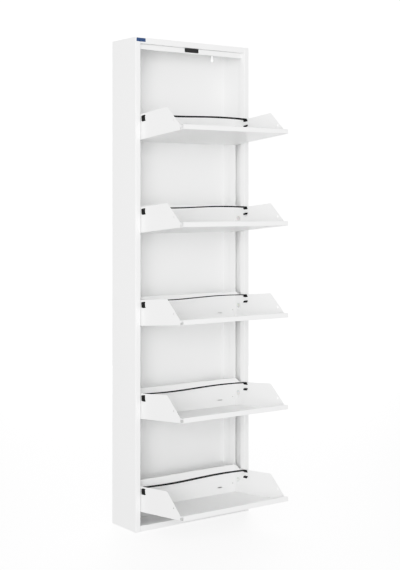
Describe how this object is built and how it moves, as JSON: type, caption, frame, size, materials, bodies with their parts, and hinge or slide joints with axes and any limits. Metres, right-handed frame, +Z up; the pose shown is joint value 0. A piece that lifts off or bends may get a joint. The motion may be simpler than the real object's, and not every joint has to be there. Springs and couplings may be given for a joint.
{
  "type": "shoe cabinet",
  "caption": "Slim tall sheet-steel shoe cabinet with tilt-out flaps, each with side plates, a shelf, a hollow lip and an elastic strap.",
  "frame": {"origin": "middle of the carcass's footprint, on the floor, at the underside of the bottom panel", "axes": "+Z up, +Y to the rear (towards the wall), +X to the right seen from the front"},
  "size_m": [0.5, 0.4116, 1.725],
  "materials": {
    "powder_coat": "white powder coat, satin, with fine orange peel",
    "elastic": "black woven elastic",
    "black_plate": "black plastic, satin, blank",
    "label_film": "thin dark blue film, blank",
    "nylon": "white nylon, satin"
  },
  "bodies": {
    "carcass": {"left_side_panel": "powder_coat", "right_side_panel": "powder_coat", "back_panel": "powder_coat", "top_panel": "powder_coat", "bottom_panel": "powder_coat", "top_stop_strip": "powder_coat", "left_bearing_rail": "powder_coat", "right_bearing_rail": "powder_coat", "name_plate": "black_plate", "rail_label": "label_film", "left_pivot_pin_1": "powder_coat", "right_pivot_pin_1": "powder_coat", "left_pivot_pin_2": "powder_coat", "right_pivot_pin_2": "powder_coat", "left_pivot_pin_3": "powder_coat", "right_pivot_pin_3": "powder_coat", "left_pivot_pin_4": "powder_coat", "right_pivot_pin_4": "powder_coat", "left_pivot_pin_5": "powder_coat", "right_pivot_pin_5": "powder_coat"},
    "flap_1": {"flap_1_door": "powder_coat", "flap_1_shelf": "powder_coat", "flap_1_left_side": "powder_coat", "flap_1_right_side": "powder_coat", "flap_1_strap": "elastic", "flap_1_left_bumper": "nylon", "flap_1_right_bumper": "nylon"},
    "flap_2": {"flap_2_door": "powder_coat", "flap_2_shelf": "powder_coat", "flap_2_left_side": "powder_coat", "flap_2_right_side": "powder_coat", "flap_2_strap": "elastic", "flap_2_left_bumper": "nylon", "flap_2_right_bumper": "nylon"},
    "flap_3": {"flap_3_door": "powder_coat", "flap_3_shelf": "powder_coat", "flap_3_left_side": "powder_coat", "flap_3_right_side": "powder_coat", "flap_3_strap": "elastic", "flap_3_left_bumper": "nylon", "flap_3_right_bumper": "nylon"},
    "flap_4": {"flap_4_door": "powder_coat", "flap_4_shelf": "powder_coat", "flap_4_left_side": "powder_coat", "flap_4_right_side": "powder_coat", "flap_4_strap": "elastic", "flap_4_left_bumper": "nylon", "flap_4_right_bumper": "nylon"},
    "flap_5": {"flap_5_door": "powder_coat", "flap_5_shelf": "powder_coat", "flap_5_left_side": "powder_coat", "flap_5_right_side": "powder_coat", "flap_5_strap": "elastic", "flap_5_left_bumper": "nylon", "flap_5_right_bumper": "nylon"}
  },
  "joints": [
    {"name": "flap_1_tilt", "type": "hinge", "parent": "carcass", "child": "flap_1", "pos_m": [0, -0.0445, 1.399], "axis": [-1, 0, 0], "range_deg": [0, 84.8]},
    {"name": "flap_2_tilt", "type": "hinge", "parent": "carcass", "child": "flap_2", "pos_m": [0, -0.0445, 1.074], "axis": [-1, 0, 0], "range_deg": [0, 84.8]},
    {"name": "flap_3_tilt", "type": "hinge", "parent": "carcass", "child": "flap_3", "pos_m": [0, -0.0445, 0.749], "axis": [-1, 0, 0], "range_deg": [0, 84.8]},
    {"name": "flap_4_tilt", "type": "hinge", "parent": "carcass", "child": "flap_4", "pos_m": [0, -0.0445, 0.424], "axis": [-1, 0, 0], "range_deg": [0, 84.8]},
    {"name": "flap_5_tilt", "type": "hinge", "parent": "carcass", "child": "flap_5", "pos_m": [0, -0.0445, 0.099], "axis": [-1, 0, 0], "range_deg": [0, 84.8]}
  ]
}
